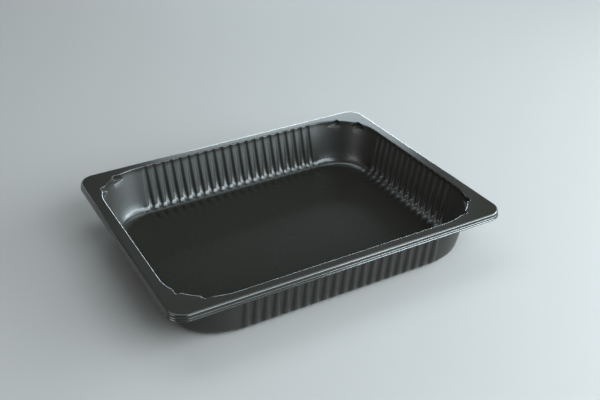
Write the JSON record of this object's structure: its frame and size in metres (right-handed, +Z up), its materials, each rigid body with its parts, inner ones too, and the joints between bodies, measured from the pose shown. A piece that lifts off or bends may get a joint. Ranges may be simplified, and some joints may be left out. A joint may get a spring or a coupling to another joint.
{
  "type": "food tray",
  "caption": "Shallow rectangular catering tray of black plastic with fluted sloping walls, plain round corners, a flat rim with a turned-down lip, and small pockets in the corners.",
  "frame": {"origin": "middle of the plane that the tray stands on", "axes": "+X along the long sides, +Y along the short sides, +Z up"},
  "size_m": [0.3234, 0.2624, 0.0495],
  "materials": {
    "black_plastic": "satin black sheet with a soft sheen"
  },
  "bodies": {
    "root": {"tray": "black_plastic"}
  },
  "joints": []
}
